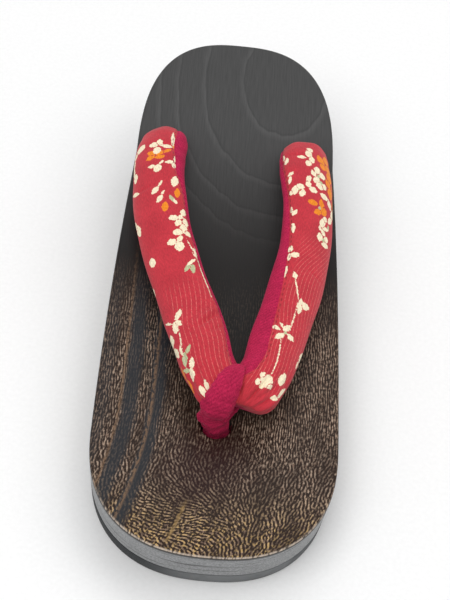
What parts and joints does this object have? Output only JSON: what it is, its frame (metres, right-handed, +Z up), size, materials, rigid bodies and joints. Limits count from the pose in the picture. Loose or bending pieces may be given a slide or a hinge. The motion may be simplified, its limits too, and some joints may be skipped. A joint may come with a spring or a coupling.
{
  "type": "geta sandal",
  "caption": "Low wooden geta sandal: one-piece deck with an arch under the waist, rubber tread pads, and a padded cloth V strap held by a front loop.",
  "frame": {"origin": "plan centre of the sandal on the floor plane under its tread pads", "axes": "+X to the wearer's left as seen from the toe end, -Y towards the toe, +Z up"},
  "size_m": [0.084, 0.235, 0.0434],
  "materials": {
    "lacquered_wood": "semi-gloss, scorched and brushed grain under clear lacquer",
    "tread_rubber": "matt",
    "printed_cloth": "red crepe with a small blossom print, padded, magenta velvet lining",
    "velvet_cloth": "matt magenta velvet"
  },
  "bodies": {
    "root": {"deck": "lacquered_wood", "front_rubber_pad": "tread_rubber", "heel_rubber_pad": "tread_rubber", "strap_pair": "printed_cloth", "front_loop": "velvet_cloth"}
  },
  "joints": []
}
